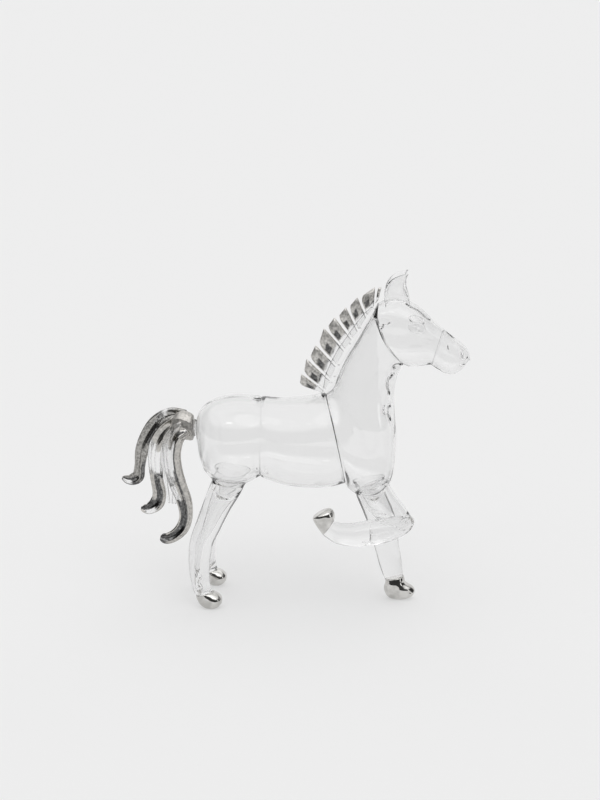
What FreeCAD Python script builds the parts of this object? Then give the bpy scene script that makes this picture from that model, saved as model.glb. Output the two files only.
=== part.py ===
"""A lampworked glass horse: blown body bulbs, drawn tube legs, silvered hooves, mane lobes and tail locks.

The frame: +X towards the nose, +Y towards the horse's left side, +Z up. The origin is on the surface that the
horse stands on, under the middle of its outline. All sizes are millimetres.
"""
import FreeCAD, Part
import math
import os

doc = FreeCAD.newDocument("glass_horse")
sheet = doc.addObject("Spreadsheet::Sheet", "Dimensions")
nodes = []


# ---- the spreadsheet, and objects bound to it ---------------------------------------------------------------

def cell(alias, value):
    """Stores one plain number in the sheet and returns the expression that reads it."""
    cell.row += 1
    sheet.set(f"A{cell.row}", alias)
    sheet.set(f"B{cell.row}", f"{value:.4f}")
    sheet.setAlias(f"B{cell.row}", alias)
    return f"Dimensions.{alias}"


cell.row = 0

WALL = cell("body_wall", 1.2)             # blown wall of the body bulbs
SOLE_DROP = cell("sole_block", 8.0)       # depth of the block that grinds the soles flat


class Ring:
    """An ellipse across a tube of glass: its centre, its lean from the vertical, and its two half-axes."""

    def __init__(self, x, y, z, lean, rise, width):
        self.x, self.y, self.z = x, y, z
        self.lean, self.rise, self.width = lean, rise, width


def across(top, bottom, width):
    """The ring that spans from a point on the back of the outline to one on its underside."""
    (tx, tz), (bx, bz) = top, bottom
    lean = math.degrees(math.atan2(tx - bx, tz - bz))
    return Ring((tx + bx) / 2, 0.0, (tz + bz) / 2, lean, math.hypot(tx - bx, tz - bz) / 2, width)


def along(stations, first_lean=None, last_lean=None):
    """Rings square to a centreline. A station is (x, y, z, rise, width), or (x, y, z, radius) for a round one."""
    rings = []
    last = len(stations) - 1
    for i, station in enumerate(stations):
        x, y, z, rise = station[:4]
        before, after = stations[max(i - 1, 0)], stations[min(i + 1, last)]
        lean = math.degrees(math.atan2(after[2] - before[2], before[0] - after[0]))
        lean = (lean + 90.0) % 180.0 - 90.0
        if i == 0 and first_lean is not None:
            lean = first_lean
        if i == last and last_lean is not None:
            lean = last_lean
        rings.append(Ring(x, y, z, lean, rise, station[-1]))
    return unturned(rings)


def unturned(rings):
    """Keeps each ring's lean within a quarter turn of the one before, so that a loft isn't twisted."""
    for before, ring in zip(rings, rings[1:]):
        while ring.lean - before.lean > 90.0:
            ring.lean -= 180.0
        while ring.lean - before.lean < -90.0:
            ring.lean += 180.0
    return rings


def bind(item, **expressions):
    for name, expression in expressions.items():
        item.setExpression(name.replace("__", "."), expression)
    return item


def ellipse(name, ring):
    """The ring as a Part ellipse whose every size and place is a cell."""
    item = doc.addObject("Part::Ellipse", name)
    item.Placement = FreeCAD.Placement(FreeCAD.Vector(), FreeCAD.Rotation(FreeCAD.Vector(0, 1, 0), -90.0))
    return bind(
        item,
        MajorRadius=cell(f"{name}_rise", ring.rise),
        MinorRadius=cell(f"{name}_width", ring.width),
        Placement__Base__x=cell(f"{name}_x", ring.x),
        Placement__Base__y=cell(f"{name}_y", ring.y),
        Placement__Base__z=cell(f"{name}_z", ring.z),
        Placement__Rotation__Angle=cell(f"{name}_lean", ring.lean - 90.0),
    )


def shrunk(name, outer, wall):
    """An ellipse inside another one by a wall."""
    item = doc.addObject("Part::Ellipse", name)
    return bind(
        item,
        MajorRadius=f"{outer.Name}.MajorRadius - {wall} * 1 mm",
        MinorRadius=f"{outer.Name}.MinorRadius - {wall} * 1 mm",
        Placement=f"{outer.Name}.Placement",
    )


def loft(name, sections):
    item = doc.addObject("Part::Loft", name)
    item.Sections = sections
    item.Solid = True
    return item


def tube(name, rings):
    """A solid through the rings, with its ellipses."""
    sections = [ellipse(f"{name}_ring{i}", ring) for i, ring in enumerate(rings)]
    return loft(f"{name}_outer", sections), sections


def boolean(kind, name, base, tool):
    item = doc.addObject(kind, name)
    item.Base, item.Tool = base, tool
    return item


def cut(name, base, tool):
    return boolean("Part::Cut", name, base, tool)


def fuse(name, *shapes):
    item = doc.addObject("Part::MultiFuse", name)
    item.Shapes = list(shapes)
    return item


def node(item, label):
    """Names a finished sub-part. Its label is the name of its STEP file."""
    item.Label = label
    nodes.append(item)
    return item


# ---- the blown body: hindquarters, barrel, forequarters with the neck, head, muzzle --------------------------

RUMP_SEAM = across((-13.8, 86.5), (-14.2, 55.0), 15.3)
SHOULDER_SEAM = across((12.4, 88.8), (20.4, 52.6), 16.0)
POLL_SEAM = across((33.9, 127.0), (44.4, 102.0), 7.2)
NOSE_SEAM = across((60.6, 116.4), (55.6, 102.0), 6.2)

HINDQUARTERS = [
    across((-38.9, 76.6), (-38.9, 70.6), 3.0),
    across((-38.1, 80.6), (-38.0, 66.6), 6.8),
    across((-35.4, 83.9), (-36.2, 60.0), 11.4),
    across((-31.5, 86.0), (-33.2, 54.0), 15.0),
    across((-25.5, 87.4), (-27.0, 50.6), 17.0),
    across((-19.5, 87.4), (-19.5, 51.6), 17.0),
    across((-15.2, 87.0), (-15.4, 54.2), 15.9),
    RUMP_SEAM,
]
BARREL = [
    RUMP_SEAM,
    across((-11.0, 86.6), (-11.0, 53.9), 16.0),
    across((-4.6, 86.4), (-4.0, 51.8), 16.9),
    across((3.6, 87.2), (6.0, 50.5), 17.3),
    across((9.0, 88.4), (14.5, 50.8), 17.0),
    SHOULDER_SEAM,
]
CHEST = [
    SHOULDER_SEAM,
    across((13.4, 89.5), (25.5, 48.2), 16.0),
    across((14.8, 90.4), (34.0, 47.5), 15.4),
    across((16.0, 91.8), (41.2, 58.0), 14.6),
    across((17.0, 93.6), (42.0, 71.0), 13.6),
    across((17.7, 95.8), (41.3, 82.0), 12.2),
]
NECK = [
    CHEST[-1],
    across((18.8, 99.2), (41.2, 90.5), 10.6),
    across((21.3, 104.6), (42.3, 96.5), 9.2),
    across((25.4, 111.6), (43.4, 100.0), 8.2),
    across((29.8, 119.5), (44.0, 101.4), 7.6),
    POLL_SEAM,
]
HEAD = [
    POLL_SEAM,
    across((38.5, 128.8), (46.5, 101.2), 8.2),
    across((44.0, 128.6), (48.6, 101.2), 8.8),
    across((49.0, 126.6), (51.0, 101.5), 8.6),
    across((53.5, 122.9), (53.2, 101.8), 7.9),
    across((57.4, 119.0), (54.8, 102.0), 7.0),
    NOSE_SEAM,
]
MUZZLE = [
    NOSE_SEAM,
    across((63.6, 114.1), (58.0, 100.3), 5.8),
    across((66.9, 111.6), (61.5, 98.6), 5.5),
    across((69.4, 109.3), (65.0, 98.4), 5.1),
    across((70.8, 107.2), (68.0, 100.3), 3.6),
    across((71.2, 105.2), (70.2, 102.8), 1.2),
]


def bulb(name, rings, closed_first=False):
    """The outside of a bulb, and the bore a wall inside it, which stops short of a closed first end."""
    outside, sections = tube(name, rings)
    inside = [shrunk(f"{name}_bore{i}", section, WALL) for i, section in enumerate(sections)]
    if closed_first:
        inside = inside[1:]
    return outside, loft(f"{name}_inner", inside)


def blown(label, rings, closed_first=False):
    """A hollow bulb of the body."""
    outside, inside = bulb(label, rings, closed_first)
    node(cut(f"{label}_shell", outside, inside), label)
    return outside


def blown_forequarters():
    """The chest and the neck are one bulb, bent upwards at the withers."""
    chest, chest_bore = bulb("chest", CHEST)
    neck, neck_bore = bulb("neck", NECK)
    outside = fuse("forequarters_outer", chest, neck)
    inside = fuse("forequarters_inner", chest_bore, neck_bore)
    node(cut("forequarters_shell", outside, inside), "forequarters")
    return outside


hindquarters = blown("hindquarters", HINDQUARTERS, closed_first=True)
barrel = blown("barrel", BARREL)
forequarters = blown_forequarters()
head = blown("head", HEAD)
muzzle, _ = tube("muzzle", MUZZLE)
node(muzzle, "muzzle")


# ---- ears and eyes -------------------------------------------------------------------------------------------

def ball(name, x, y, z, long, wide, high, lean=0.0):
    """An ellipsoid: its centre, its half-axes along X, Y and Z, and its lean about Y."""
    item = doc.addObject("Part::Ellipsoid", name)
    item.Placement = FreeCAD.Placement(FreeCAD.Vector(), FreeCAD.Rotation(FreeCAD.Vector(0, 1, 0), 1.0))
    return bind(
        item,
        Radius1=cell(f"{name}_high", high),
        Radius2=cell(f"{name}_long", long),
        Radius3=cell(f"{name}_wide", wide),
        Placement__Base__x=cell(f"{name}_x", x),
        Placement__Base__y=cell(f"{name}_y", y),
        Placement__Base__z=cell(f"{name}_z", z),
        Placement__Rotation__Angle=cell(f"{name}_lean", lean),
    )


def ear(label, side):
    """A pointed leaf of glass, standing on the poll, pressed hollow on its outer front."""
    leaf, _ = tube(label, along([
        (41.6, side * 4.4, 125.4, 4.9, 2.5),
        (41.0, side * 4.6, 131.0, 4.6, 2.6),
        (40.9, side * 4.9, 135.2, 3.7, 2.2),
        (42.6, side * 5.1, 138.0, 2.6, 1.5),
        (45.4, side * 5.2, 139.5, 0.8, 0.6),
    ], first_lean=90.0))
    scoop = ball(f"{label}_scoop", 43.6, side * 8.2, 133.6, 2.6, 3.6, 3.8)
    return node(cut(f"{label}_leaf", cut(f"{label}_hollow", leaf, scoop), head), label)


def eye(label, side):
    """A bead of glass set on the side of the head."""
    bead = ball(f"{label}_bead", 49.6, side * 7.2, 118.6, 3.4, 1.9, 2.3, 14.0)
    return node(cut(f"{label}_cap", bead, head), label)


SIDES = (("left", 1), ("right", -1))

for side_name, side in SIDES:
    ear(f"ear_{side_name}", side)
    eye(f"eye_{side_name}", side)


# ---- legs and hooves -----------------------------------------------------------------------------------------

ground = doc.addObject("Part::Box", "ground_block")
bind(
    ground,
    Length=cell("ground_length", 120.0),
    Width=cell("ground_width", 60.0),
    Height=SOLE_DROP,
    Placement__Base__x=cell("ground_x", -60.0),
    Placement__Base__y=cell("ground_y", -30.0),
    Placement__Base__z=f"-{SOLE_DROP}",
)


def leg(label, stations, bore_stations, body):
    """A drawn tube leg: bored like a test tube, and fused at its top to the outside of the body."""
    outside, _ = tube(label, along(stations))
    bore, _ = tube(f"{label}_bore", along(bore_stations))
    node(cut(f"{label}_tube", cut(f"{label}_drawn", outside, bore), body), label)
    return outside


def hoof(label, toe, heel, leg_outside):
    """A silvered foot: a toe and a heel bead round the end of the leg, ground flat underneath."""
    beads = fuse(f"{label}_beads", ball(f"{label}_toe", *toe), ball(f"{label}_heel", *heel))
    flat = cut(f"{label}_ground", beads, ground)
    return node(cut(f"{label}_foot", flat, leg_outside), label)


def hind_leg(side_name, side):
    outside = leg(
        f"hind_leg_{side_name}",
        [
            (-25.6, side * 9.6, 57.0, 7.6, 6.6),
            (-27.4, side * 10.2, 51.0, 6.3, 5.9),
            (-31.2, side * 11.2, 43.6, 5.7, 5.5),
            (-34.8, side * 12.2, 35.2, 5.1, 5.0),
            (-37.6, side * 13.0, 28.4, 4.75, 4.7),
            (-38.5, side * 13.5, 22.0, 4.5, 4.4),
            (-38.6, side * 13.8, 16.0, 4.2, 4.1),
            (-37.9, side * 14.0, 9.6, 3.7, 3.6),
            (-36.4, side * 14.0, 4.6, 3.0, 3.0),
        ],
        [
            (-25.6, side * 9.6, 57.2, 5.9, 4.9),
            (-27.4, side * 10.2, 51.0, 4.6, 4.2),
            (-31.2, side * 11.2, 43.6, 3.7, 3.5),
            (-34.8, side * 12.2, 35.2, 2.8, 2.7),
            (-37.6, side * 13.0, 28.4, 2.1, 2.0),
            (-38.5, side * 13.5, 22.0, 1.6, 1.5),
            (-38.6, side * 13.8, 16.0, 1.3, 1.2),
            (-38.1, side * 14.0, 9.0, 0.9, 0.8),
        ],
        hindquarters,
    )
    hoof(
        f"hoof_hind_{side_name}",
        (-33.3, side * 14.0, 3.1, 4.3, 3.9, 3.5),
        (-36.3, side * 14.0, 3.9, 3.9, 3.8, 4.3),
        outside,
    )


def standing_foreleg():
    outside = leg(
        "foreleg_standing",
        [
            (32.6, 6.6, 54.0, 9.4, 6.6),
            (33.2, 6.2, 46.4, 8.4, 6.2),
            (34.4, 5.6, 38.8, 6.8, 5.8),
            (36.6, 4.8, 30.6, 5.6, 5.3),
            (38.2, 4.0, 23.4, 5.1, 5.0),
            (40.0, 3.3, 15.6, 4.75, 4.6),
            (41.8, 2.8, 9.2, 4.1, 4.0),
            (43.0, 2.6, 5.2, 3.4, 3.4),
        ],
        [
            (32.6, 6.6, 54.2, 7.6, 4.9),
            (33.2, 6.2, 46.4, 6.4, 4.3),
            (34.4, 5.6, 38.8, 4.8, 3.9),
            (36.6, 4.8, 30.6, 3.5, 3.2),
            (38.2, 4.0, 23.4, 2.7, 2.6),
            (40.4, 3.3, 14.2, 1.9, 1.8),
        ],
        forequarters,
    )
    hoof(
        "hoof_fore_standing",
        (45.4, 2.6, 3.0, 4.4, 4.2, 3.5),
        (41.9, 2.6, 3.8, 4.7, 4.1, 4.6),
        outside,
    )


def raised_foreleg():
    """The right foreleg is bent at the knee: a forearm drawn forwards and a cannon folded back under it."""
    forearm = leg(
        "raised_forearm",
        [
            (31.6, -9.0, 56.6, 8.4, 6.2),
            (32.4, -10.4, 52.6, 7.9, 6.0),
            (34.8, -11.4, 48.4, 6.9, 5.6),
            (38.6, -11.9, 45.2, 5.4, 5.0),
            (43.2, -12.0, 42.9, 3.7, 3.7),
            (47.2, -12.0, 40.9, 1.6, 1.6),
        ],
        [
            (31.6, -9.0, 56.8, 6.8, 4.6),
            (32.4, -10.4, 52.6, 6.2, 4.3),
            (34.8, -11.4, 48.4, 5.0, 3.7),
            (38.6, -11.9, 45.4, 3.3, 2.9),
        ],
        forequarters,
    )
    cannon, _ = tube("raised_cannon", along([
        (48.0, -12.0, 40.2, 1.6, 1.6),
        (46.4, -12.0, 37.9, 3.4, 3.3),
        (43.0, -12.0, 36.1, 4.5, 4.3),
        (37.4, -12.0, 34.6, 5.3, 4.8),
        (31.4, -12.0, 33.3, 5.3, 4.8),
        (25.2, -12.0, 32.4, 4.9, 4.6),
        (19.6, -12.0, 32.8, 4.3, 4.2),
        (15.4, -12.0, 34.4, 3.7, 3.7),
        (13.6, -12.0, 36.4, 3.0, 3.0),
    ]))
    bore, _ = tube("raised_cannon_bore", along([
        (41.6, -12.0, 35.8, 2.4, 2.3),
        (37.2, -12.0, 34.7, 3.4, 3.1),
        (31.4, -12.0, 33.5, 3.3, 3.0),
        (25.2, -12.0, 32.8, 2.6, 2.4),
        (20.6, -12.0, 33.2, 1.4, 1.3),
    ]))
    hollow = cut("raised_cannon_drawn", cannon, bore)
    node(cut("raised_cannon_tube", hollow, forearm), "raised_cannon")
    foot, _ = tube("hoof_fore_raised", along([
        (15.2, -12.0, 34.2, 2.6, 2.6),
        (14.4, -12.0, 35.8, 3.8, 3.8),
        (12.8, -12.0, 38.8, 4.2, 4.1),
        (11.7, -12.0, 41.0, 4.1, 4.0),
        (11.0, -12.0, 42.4, 2.6, 2.6),
    ]))
    node(cut("hoof_fore_raised_foot", foot, cannon), "hoof_fore_raised")


for side_name, side in SIDES:
    hind_leg(side_name, side)
standing_foreleg()
raised_foreleg()


# ---- mane ----------------------------------------------------------------------------------------------------

MANE_ROOT = [(12.4, 90.2), (11.5, 95.4), (13.9, 101.0), (16.6, 105.8), (19.4, 110.6),
             (22.1, 115.2), (25.1, 119.4), (28.4, 122.7), (31.4, 125.3), (33.8, 127.4)]
MANE_EDGE = [(3.3, 89.2), (2.3, 95.4), (4.2, 102.3), (7.2, 109.2), (11.4, 115.7),
             (16.0, 121.5), (20.9, 126.6), (26.4, 131.3), (31.3, 133.6), (35.3, 133.2)]


def middle(points, i):
    (ax, az), (bx, bz) = points[i], points[i + 1]
    return (ax + bx) / 2, (az + bz) / 2, math.hypot(bx - ax, bz - az) / 2


def mane():
    """A clear strip fused along the crest of the neck, and a row of silvered lobes standing on it."""
    strip, _ = tube("mane_crest", along([
        (14.6, 0.0, 90.6, 3.1, 1.7),
        (15.0, 0.0, 95.6, 3.5, 1.9),
        (17.0, 0.0, 101.2, 3.5, 1.9),
        (20.6, 0.0, 107.8, 3.5, 1.9),
        (24.4, 0.0, 114.0, 3.4, 1.9),
        (28.2, 0.0, 119.6, 3.2, 1.8),
        (33.4, 0.0, 124.9, 2.8, 1.7),
    ]))
    trimmed = cut("mane_crest_trimmed", strip, forequarters)
    node(cut("mane_crest_strip", trimmed, head), "mane_crest")
    for i in range(len(MANE_ROOT) - 1):
        root_x, root_z, root_half = middle(MANE_ROOT, i)
        edge_x, edge_z, edge_half = middle(MANE_EDGE, i)
        label = f"mane_lobe_{i + 1:02d}"
        lobe, _ = tube(label, along([
            (1.2 * root_x - 0.2 * edge_x, 0.0, 1.2 * root_z - 0.2 * edge_z, root_half - 0.3, 1.2),
            (0.4 * root_x + 0.6 * edge_x, 0.0, 0.4 * root_z + 0.6 * edge_z, edge_half - 0.35, 1.6),
            (edge_x, 0.0, edge_z, edge_half - 0.9, 0.8),
        ]))
        off_strip = cut(f"{label}_off_strip", lobe, strip)
        off_neck = cut(f"{label}_off_neck", off_strip, forequarters)
        node(cut(f"{label}_off_head", off_neck, head), label)


mane()


# ---- tail ----------------------------------------------------------------------------------------------------

def tail():
    """A clear stub on the rump, the silvered root it carries, and four ribbon locks that curl up at their tips."""
    stub, _ = tube("tail_stub", along([
        (-36.4, 0.0, 73.4, 3.6, 3.4),
        (-39.6, 0.0, 73.2, 3.4, 3.2),
        (-42.2, 0.0, 72.8, 3.9, 3.4),
    ], last_lean=0.0))
    node(cut("tail_stub_end", stub, hindquarters), "tail_stub")
    root, _ = tube("tail_root", along([
        (-42.2, 0.0, 72.8, 4.5, 4.4),
        (-44.4, 0.0, 73.4, 5.9, 5.8),
        (-47.2, 0.0, 74.2, 6.2, 6.1),
        (-50.0, 0.0, 74.8, 4.8, 4.7),
    ], first_lean=0.0))
    node(root, "tail_root")
    locks = {
        "tail_lock_far": [
            (-46.5, 4.2, 76.0, 3.2, 1.4), (-52.3, 4.9, 76.6, 3.4, 1.4), (-57.5, 5.4, 73.0, 3.3, 1.4),
            (-61.2, 5.8, 67.6, 3.1, 1.4), (-63.6, 6.0, 61.4, 2.9, 1.4), (-65.2, 6.0, 55.0, 2.4, 1.4),
            (-67.0, 6.0, 50.6, 2.2, 1.4), (-69.8, 6.0, 48.8, 1.7, 1.3), (-72.3, 6.0, 49.3, 0.7, 0.6),
        ],
        "tail_lock_middle": [
            (-46.5, 1.4, 75.0, 3.4, 1.3), (-52.0, 1.6, 71.8, 3.4, 1.3), (-56.2, 1.8, 66.0, 3.3, 1.3),
            (-57.8, 2.0, 58.6, 3.1, 1.3), (-57.2, 2.0, 50.0, 2.6, 1.3), (-57.4, 2.0, 43.6, 2.5, 1.3),
            (-59.2, 2.0, 39.6, 2.2, 1.3), (-62.2, 2.0, 37.5, 1.6, 1.2), (-64.3, 2.0, 37.6, 0.6, 0.6),
        ],
        "tail_lock_inner": [
            (-46.2, -1.4, 74.0, 3.2, 1.3), (-50.9, -1.5, 69.4, 3.2, 1.3), (-52.6, -1.5, 62.0, 3.1, 1.3),
            (-52.0, -1.4, 54.0, 2.9, 1.3), (-51.2, -1.3, 46.6, 2.6, 1.3), (-51.2, -1.2, 41.2, 1.2, 0.8),
        ],
        "tail_lock_near": [
            (-46.0, -4.2, 73.4, 3.4, 1.4), (-50.0, -4.6, 70.4, 3.6, 1.5), (-51.2, -4.8, 64.6, 3.7, 1.5),
            (-50.0, -5.0, 57.4, 3.8, 1.5), (-47.8, -5.0, 49.6, 3.6, 1.5), (-46.1, -5.0, 43.0, 3.2, 1.5),
            (-45.4, -5.0, 36.8, 2.8, 1.5), (-46.6, -5.0, 31.6, 2.7, 1.5), (-49.6, -5.0, 28.2, 2.4, 1.5),
            (-53.2, -5.0, 26.2, 2.0, 1.4), (-55.8, -5.0, 26.4, 0.8, 0.7),
        ],
    }
    for label, stations in locks.items():
        ribbon, _ = tube(label, along(stations))
        node(cut(f"{label}_ribbon", ribbon, root), label)


tail()


# ---- the STEP files ------------------------------------------------------------------------------------------

doc.recompute()
for item in doc.Objects:
    assert "Invalid" not in item.State and "Error" not in item.State, f"{item.Label}: {item.State}"
os.makedirs("parts", exist_ok=True)
for item in nodes:
    assert not item.Shape.isNull() and item.Shape.isValid(), f"{item.Label} has no valid shape"
    item.Shape.exportStep(f"parts/{item.Label}.step")
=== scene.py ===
"""The looks of a lampworked glass horse: blown bulbs, drawn legs, and silvered hooves, mane and tail.

Stations are in millimetres in the row frame: +X to the nose, +Y to the horse's left, +Z up.
"""
import math

import bpy
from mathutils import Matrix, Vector, noise
from mathutils.bvhtree import BVHTree


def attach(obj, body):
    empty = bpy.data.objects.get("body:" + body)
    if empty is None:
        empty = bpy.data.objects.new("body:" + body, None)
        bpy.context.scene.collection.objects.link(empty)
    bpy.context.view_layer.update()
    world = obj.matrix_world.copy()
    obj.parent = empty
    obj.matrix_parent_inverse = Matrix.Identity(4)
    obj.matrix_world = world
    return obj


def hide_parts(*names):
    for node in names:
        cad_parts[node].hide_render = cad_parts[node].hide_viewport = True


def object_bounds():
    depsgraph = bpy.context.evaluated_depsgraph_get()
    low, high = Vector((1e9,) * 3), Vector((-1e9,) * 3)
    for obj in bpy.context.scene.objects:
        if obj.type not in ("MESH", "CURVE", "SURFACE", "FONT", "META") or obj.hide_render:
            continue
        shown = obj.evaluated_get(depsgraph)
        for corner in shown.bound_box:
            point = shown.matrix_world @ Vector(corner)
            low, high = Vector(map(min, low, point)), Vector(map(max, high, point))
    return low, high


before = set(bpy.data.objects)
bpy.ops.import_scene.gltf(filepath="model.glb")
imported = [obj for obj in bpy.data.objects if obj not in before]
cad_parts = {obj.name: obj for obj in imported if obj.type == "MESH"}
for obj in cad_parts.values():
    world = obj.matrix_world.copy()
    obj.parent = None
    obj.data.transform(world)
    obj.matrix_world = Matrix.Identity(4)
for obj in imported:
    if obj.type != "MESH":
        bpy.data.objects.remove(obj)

CAD_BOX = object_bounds()
MM = 0.001
GAP = 0.03            # hairline between two pieces that are melted together
WALL, NECK_WALL, HEAD_WALL = 0.9, 1.1, 1.0    # blown walls: of the body and muzzle, the neck and the head
RIM = 0.45            # the wall at a weld, where it was drawn thin
RIM_REACH = 2.2       # how far from a weld the wall gets its full depth
ROUND = 2.15          # fullness of a section's corners: 2 is an ellipse
FLANK = 3.1           # the same on the underside, where the legs join
FLANK_LOW, FLANK_TOP = 56.0, 84.0   # undersides below and above these heights are all flank or all round
RIPPLE = 0.12         # how far a blown wall's depth wanders
RIPPLE_PITCH, CREASE_PITCH = 0.09, 0.25   # waves to a millimetre in a wall's depth, and along a crease
AROUND = 128          # points round a bulb or a leg
SIDES = (("left", 1), ("right", -1))


# ---- curves and rings --------------------------------------------------------

def between(p, q, r, s, t):
    """Catmull-Rom: a share t of the way from q to r, between p and s. Numbers or vectors will do."""
    square = (2 * p - 5 * q + 4 * r - s) * t * t
    cube = (3 * q - p - 3 * r + s) * t ** 3
    return 0.5 * (2 * q + (r - p) * t + square + cube)


def glide(stations, steps):
    """A smooth curve through a list of equal-length tuples, with some steps to each span."""
    out = []
    last = len(stations) - 1
    for i in range(last):
        before, after = stations[max(i - 1, 0)], stations[min(i + 2, last)]
        spans = list(zip(before, stations[i], stations[i + 1], after))
        for k in range(steps):
            out.append(tuple(between(*span, k / steps) for span in spans))
    out.append(tuple(stations[-1]))
    return out


def power(value, exponent):
    """The power of a number that keeps its sign."""
    return math.copysign(abs(value) ** exponent, value)


def oval(centre, up, side, square=2.0, count=AROUND, low=None):
    """Points round an ellipse with these two half-axes. A square of more than 2 fills out its corners, or low
    does for its lower half."""
    out = []
    for k in range(count):
        a = 2 * math.pi * k / count
        e = 2.0 / (low if low and math.cos(a) < 0 else square)
        out.append(centre + up * power(math.cos(a), e) + side * power(math.sin(a), e))
    return out


def across(stations, steps):
    """Rings from the back of an outline to its underside: (back x, z, underside x, z, half-width)."""
    rings = []
    for back_x, back_z, under_x, under_z, width in glide(stations, steps):
        back, under = Vector((back_x, 0, back_z)), Vector((under_x, 0, under_z))
        flank = min(max((FLANK_TOP - under_z) / (FLANK_TOP - FLANK_LOW), 0.0), 1.0)
        low = ROUND + (FLANK - ROUND) * flank
        rings.append(oval((back + under) / 2, (back - under) / 2, Vector((0, width, 0)), ROUND, low=low))
    return rings


def places_along(stations, steps):
    """Each place along a centreline: its point, up and sideways there, and the rest of its station."""
    line = glide(stations, steps)
    points = [Vector(p[:3]) for p in line]
    for i, p in enumerate(line):
        ahead, behind = points[min(i + 1, len(line) - 1)], points[max(i - 1, 0)]
        tangent = (ahead - behind).normalized()
        up = Vector((0, 1, 0)).cross(tangent).normalized()
        yield points[i], up, tangent.cross(up), p[3:]


def along(stations, steps, square=2.0, count=AROUND):
    """Rings square to a centreline: (x, y, z, half-height in the XZ plane, half-width)."""
    rings = []
    for point, up, side, (high, wide) in places_along(stations, steps):
        rings.append(oval(point, up * high, side * wide, square, count))
    return rings


def middle(ring):
    return sum(ring, Vector()) / len(ring)


def toward_middle(ring, by):
    """The ring drawn in by a wall."""
    centre = middle(ring)
    return [p + (centre - p).normalized() * by for p in ring]


def drawn_in(rings, wall, seed, thin_first=True, thin_last=True, reach=RIM_REACH):
    """The inside of a blown wall, a little uneven as worked glass is, and thin at its welds."""
    middles = [middle(ring) for ring in rings]
    out = []
    for i, ring in enumerate(rings):
        room = reach
        if thin_first:
            room = min(room, (middles[i] - middles[0]).length)
        if thin_last:
            room = min(room, (middles[i] - middles[-1]).length)
        share = room / reach
        depth = RIM + (wall - RIM) * share * share * (3 - 2 * share)
        inner = []
        for p in ring:
            waver = share * RIPPLE * noise.noise(p * RIPPLE_PITCH + Vector((seed, 7.0, 3.0)))
            inner.append(p + (middles[i] - p).normalized() * (depth + waver))
        out.append(inner)
    return out


def lumped(rings, lumps):
    """The inside of a wall with runs of glass on it: (x, y, z, reach across, reach up, depth) for each."""
    out = []
    for ring in rings:
        centre = middle(ring)
        inner = []
        for p in ring:
            depth = 0.0
            for x, y, z, reach, high, deep in lumps:
                away = ((p.x - x) ** 2 + (p.y - y) ** 2) / reach ** 2 + ((p.z - z) / high) ** 2
                depth += deep * math.exp(-away)
            inner.append(p + (centre - p).normalized() * depth)
        out.append(inner)
    return out


def creased(ring, depth, top, seed):
    """A ring drawn in unevenly along a weld: by a depth on the underside, and a share of it at the top."""
    centre = middle(ring)
    count = len(ring)
    out = []
    for k, p in enumerate(ring):
        low = 0.5 - 0.5 * math.cos(2 * math.pi * k / count)
        uneven = 0.75 + 0.5 * noise.noise(p * CREASE_PITCH + Vector((seed, 0, 0)))
        out.append(p + (centre - p).normalized() * depth * (top + (1 - top) * low) * uneven)
    return out


def bowed(rings, amount, turn, reach=8.0, last=False):
    """Curves an end of a run of rings: its sides are pushed along X by an amount, and turned by a share of Y.
    Its back and underside stay."""
    out = [list(ring) for ring in rings]
    rim = middle(rings[-1] if last else rings[0])
    for ring in out:
        fade = max(1 - (middle(ring) - rim).length / reach, 0.0)
        width = max(abs(p.y) for p in ring)
        for p in ring:
            p.x += fade * fade * (amount * (p.y / width) ** 2 + turn * p.y)
    return out


# ---- meshes ------------------------------------------------------------------

def add_mesh(name, points, faces):
    """A smooth-shaded object, from points in millimetres."""
    mesh = bpy.data.meshes.new(name)
    mesh.from_pydata([p * MM for p in points], [], faces)
    mesh.validate()
    mesh.polygons.foreach_set("use_smooth", [True] * len(mesh.polygons))
    piece = bpy.data.objects.new(name, mesh)
    bpy.context.scene.collection.objects.link(piece)
    return piece


def skin(rings, start=None, end=None, looped=False):
    """Points and faces over a run of rings. start and end are the points that close it, and looped joins the
    last ring to the first."""
    count = len(rings[0])
    points = [p for ring in rings for p in ring]
    faces = []
    spans = len(rings) if looped else len(rings) - 1
    for i in range(spans):
        j = (i + 1) % len(rings)
        for k in range(count):
            n = (k + 1) % count
            faces.append((i * count + k, i * count + n, j * count + n, j * count + k))
    if start is not None:
        points.append(start)
        faces += [(len(points) - 1, (k + 1) % count, k) for k in range(count)]
    if end is not None:
        points.append(end)
        base = (len(rings) - 1) * count
        faces += [(len(points) - 1, base + k, base + (k + 1) % count) for k in range(count)]
    return points, faces


def outward(piece):
    """Turns the faces of a closed piece to look outwards."""
    mesh = piece.data
    volume = 0.0
    for face in mesh.polygons:
        corners = [mesh.vertices[v].co for v in face.vertices]
        for b, c in zip(corners[1:], corners[2:]):
            volume += corners[0].dot(b.cross(c))
    if volume < 0:
        mesh.flip_normals()
    return piece


HOLD = 0.03           # how near to a flat end the ring that holds its corner is, as a share of a span


def held(rings):
    """The rings with one more close to the first, so that smooth shading keeps a crisp corner there."""
    return [rings[0], [p.lerp(q, HOLD) for p, q in zip(rings[0], rings[1])], *rings[1:]]


def solid(name, rings, start=None, end=None):
    """A closed solid over the rings. It ends in flat faces, or in the points given."""
    start = middle(rings[0]) if start is None else start
    end = middle(rings[-1]) if end is None else end
    return outward(add_mesh(name, *skin(rings, start, end)))


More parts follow.
